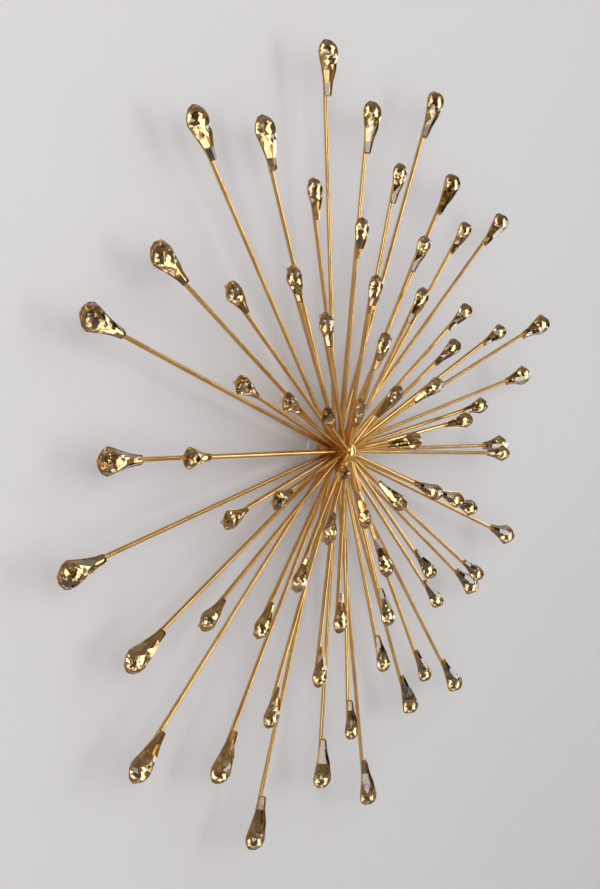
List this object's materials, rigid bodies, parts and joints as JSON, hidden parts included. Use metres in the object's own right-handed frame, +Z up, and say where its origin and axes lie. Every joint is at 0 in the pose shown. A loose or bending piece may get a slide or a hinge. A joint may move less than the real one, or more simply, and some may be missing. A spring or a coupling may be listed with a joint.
{
  "type": "sunburst wall sculpture",
  "caption": "Starburst wall sculpture: gilt rods in rings on a small hub, each tipped with a faceted champagne glass drop in a tray, with a keyhole back plate.",
  "frame": {"origin": "centre of the back plate's rear face, on the wall", "axes": "+Y into the wall, -Y towards the room along the hub's axis, +Z up, +X to the right seen from the room"},
  "size_m": [1.0416, 0.1192, 1.0416],
  "materials": {
    "satin_gilt": "satin gold plate",
    "polished_gilt": "polished gold plate",
    "champagne_glass": "clear faceted glass with a champagne mirror coat on its back",
    "white_enamel": "white enamel",
    "zinc_steel": "zinc plated"
  },
  "bodies": {
    "root": {"hub": "satin_gilt", "standoff": "satin_gilt", "back_plate": "white_enamel", "stud": "zinc_steel", "ring1_rod_01": "satin_gilt", "ring1_rod_02": "satin_gilt", "ring1_rod_03": "satin_gilt", "ring1_rod_04": "satin_gilt", "ring1_rod_05": "satin_gilt", "ring1_rod_06": "satin_gilt", "ring1_rod_07": "satin_gilt", "ring1_rod_08": "satin_gilt", "ring1_rod_09": "satin_gilt", "ring1_rod_10": "satin_gilt", "ring1_rod_11": "satin_gilt", "ring1_rod_12": "satin_gilt", "ring1_tray_01": "polished_gilt", "ring1_tray_02": "polished_gilt", "ring1_tray_03": "polished_gilt", "ring1_tray_04": "polished_gilt", "ring1_tray_05": "polished_gilt", "ring1_tray_06": "polished_gilt", "ring1_tray_07": "polished_gilt", "ring1_tray_08": "polished_gilt", "ring1_tray_09": "polished_gilt", "ring1_tray_10": "polished_gilt", "ring1_tray_11": "polished_gilt", "ring1_tray_12": "polished_gilt", "ring1_drop_01": "champagne_glass", "ring1_drop_02": "champagne_glass", "ring1_drop_03": "champagne_glass", "ring1_drop_04": "champagne_glass", "ring1_drop_05": "champagne_glass", "ring1_drop_06": "champagne_glass", "ring1_drop_07": "champagne_glass", "ring1_drop_08": "champagne_glass", "ring1_drop_09": "champagne_glass", "ring1_drop_10": "champagne_glass", "ring1_drop_11": "champagne_glass", "ring1_drop_12": "champagne_glass", "ring2_rods": "satin_gilt", "ring2_trays": "polished_gilt", "ring2_drops": "champagne_glass", "ring3_rods": "satin_gilt", "ring3_trays": "polished_gilt", "ring3_drops": "champagne_glass", "ring4_rods": "satin_gilt", "ring4_trays": "polished_gilt", "ring4_drops": "champagne_glass", "ring5_rods": "satin_gilt", "ring5_trays": "polished_gilt", "ring5_drops": "champagne_glass", "ring6_rods": "satin_gilt", "ring6_trays": "polished_gilt", "ring6_drops": "champagne_glass", "ring7_rods": "satin_gilt", "ring7_trays": "polished_gilt", "ring7_drops": "champagne_glass"}
  },
  "joints": []
}
